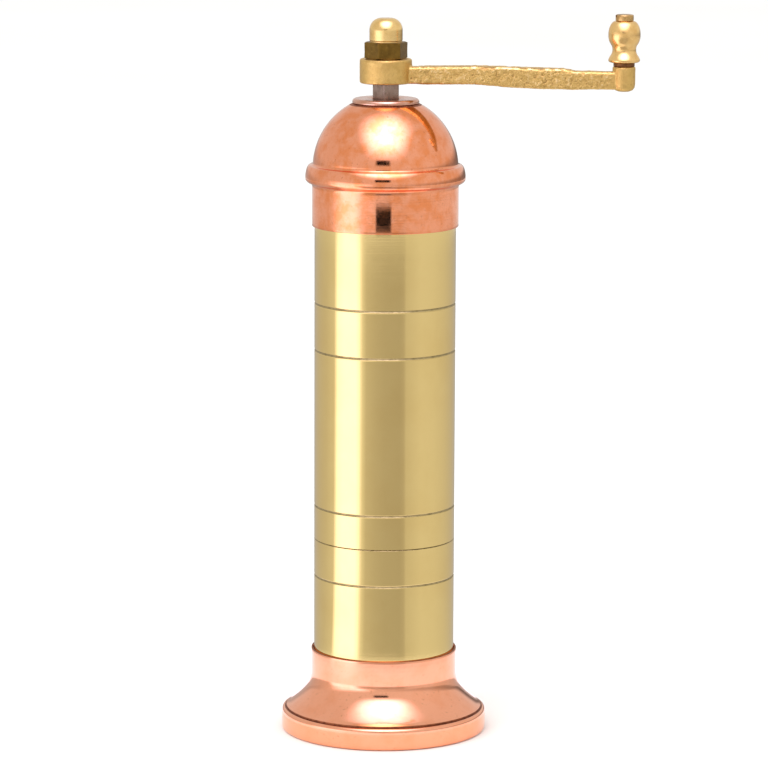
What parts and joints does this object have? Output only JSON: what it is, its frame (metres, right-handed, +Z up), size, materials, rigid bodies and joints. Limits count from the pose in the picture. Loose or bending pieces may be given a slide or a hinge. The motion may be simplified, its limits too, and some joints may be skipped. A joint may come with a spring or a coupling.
{
  "type": "coffee grinder mill",
  "caption": "Tall cylindrical hand coffee mill in brass and copper with domed lift-off cap, top crank, conical burrs and a separate grounds cup on a flared foot.",
  "frame": {"origin": "centre of the foot's underside", "axes": "+Z up along the mill's axis, +X from the shaft towards the crank's knob, +Y to the crank's left seen from above with the knob to the right"},
  "size_m": [0.1132, 0.0658, 0.2315],
  "materials": {
    "polished_brass": "mirror polished",
    "spun_copper": "polished copper, lightly tarnished",
    "cast_brass": "rough sand cast",
    "dull_brass": "turned and tarnished",
    "shaft_steel": "drawn bar, worn",
    "burr_steel": "hardened, dark",
    "spring_steel": "oiled wire",
    "tinned_plate": "tinned"
  },
  "bodies": {
    "cup": {"foot_shell": "spun_copper", "base_plate": "cast_brass", "grounds_cup": "polished_brass", "cup_floor": "tinned_plate"},
    "barrel": {"barrel_tube": "polished_brass", "joint_sleeve": "polished_brass", "outer_burr": "burr_steel", "lower_bridge": "cast_brass", "bridge_screws": "shaft_steel", "top_bridge": "tinned_plate", "bridge_rivets": "polished_brass", "pressure_spring": "spring_steel"},
    "thrust": {"thrust_ball": "spring_steel"},
    "adjuster": {"adjusting_screw": "dull_brass"},
    "drive": {"drive_shaft": "shaft_steel", "inner_burr": "burr_steel", "burr_washer": "shaft_steel", "burr_nut": "shaft_steel", "cross_pins": "shaft_steel", "spring_collar": "dull_brass", "shaft_bush": "dull_brass"},
    "crank": {"crank_arm": "cast_brass", "knob_washer": "dull_brass", "knob_screw": "dull_brass"},
    "knob": {"crank_knob": "polished_brass"},
    "nut": {"acorn_nut": "dull_brass"},
    "cap": {"cap_shell": "spun_copper", "cap_collar": "spun_copper"}
  },
  "joints": [
    {"name": "barrel_lift", "type": "slide", "parent": "cup", "child": "barrel", "axis": [0, 0, 1], "range_m": [0, 0.04]},
    {"name": "burr_rise", "type": "slide", "parent": "barrel", "child": "thrust", "axis": [0, 0, 1], "range_m": [-0.00063, 0.00125], "deforming": ["pressure_spring"]},
    {"name": "adjuster_turn", "type": "hinge", "parent": "thrust", "child": "adjuster", "pos_m": [0, 0, 0.0473], "axis": [0, 0, 1], "range_deg": [-182, 362]},
    {"name": "crank_turn", "type": "hinge", "parent": "thrust", "child": "drive", "pos_m": [0, 0, 0.2065], "axis": [0, 0, 1], "continuous": true},
    {"name": "crank_lift", "type": "slide", "parent": "drive", "child": "crank", "axis": [0, 0, 1], "range_m": [0, 0.07]},
    {"name": "knob_spin", "type": "hinge", "parent": "crank", "child": "knob", "pos_m": [0.0752, 0, 0.223], "axis": [0, 0, 1], "continuous": true},
    {"name": "nut_lift", "type": "slide", "parent": "crank", "child": "nut", "axis": [0, 0, 1], "range_m": [0, 0.012]},
    {"name": "cap_lift", "type": "slide", "parent": "barrel", "child": "cap", "axis": [0, 0, 1], "range_m": [0, 0.07]}
  ],
  "couplings": [
    {"joint": "adjuster_turn", "follows": "burr_rise", "rad_per_m": 5026.5},
    {"joint": "cap_lift", "follows": "crank_lift", "ratio": 1}
  ]
}
